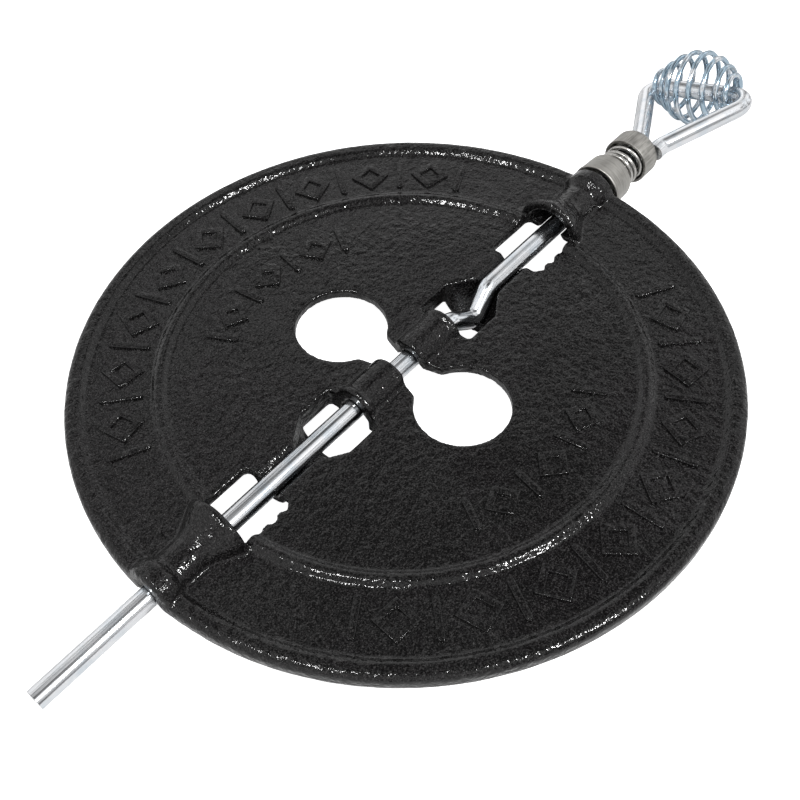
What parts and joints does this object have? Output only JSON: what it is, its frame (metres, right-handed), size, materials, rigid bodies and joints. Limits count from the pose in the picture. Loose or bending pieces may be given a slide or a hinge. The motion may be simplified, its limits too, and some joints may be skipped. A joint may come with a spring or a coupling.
{
  "type": "stovepipe damper",
  "caption": "Round cast-iron stovepipe damper on a kinked steel rod, with a spring-loaded pipe collar and a wire coil grip on its looped handle.",
  "frame": {"origin": "centre of the plate, on the rod's axis", "axes": "+X along the rod towards the handle, +Z out of the plate's upper side, where the arches stand"},
  "size_m": [0.311, 0.196, 0.0256],
  "materials": {
    "black_iron": "glossy black enamel over cast grain",
    "zinc_rod": "bright zinc plate with drawn streaks",
    "zinc_wire": "bright blue-white zinc plate",
    "spring_steel": "bright spring wire",
    "satin_steel": "grey satin, faintly turned"
  },
  "bodies": {
    "collar": {"pipe_collar": "satin_steel", "spring": "spring_steel"},
    "plate": {"damper_plate": "black_iron"},
    "handle": {"handle_rod": "zinc_rod", "grip_coil": "zinc_wire", "spring_cup": "satin_steel"}
  },
  "joints": [
    {"name": "damper_turn", "type": "hinge", "parent": "collar", "child": "plate", "pos_m": [0, 0, 0], "axis": [1, 0, 0], "continuous": true},
    {"name": "handle_push", "type": "slide", "parent": "plate", "child": "handle", "axis": [1, 0, 0], "range_m": [-0.0062, 0], "stiffness_N_per_m": 1500, "springref_m": 0.008, "deforming": ["spring"]}
  ]
}
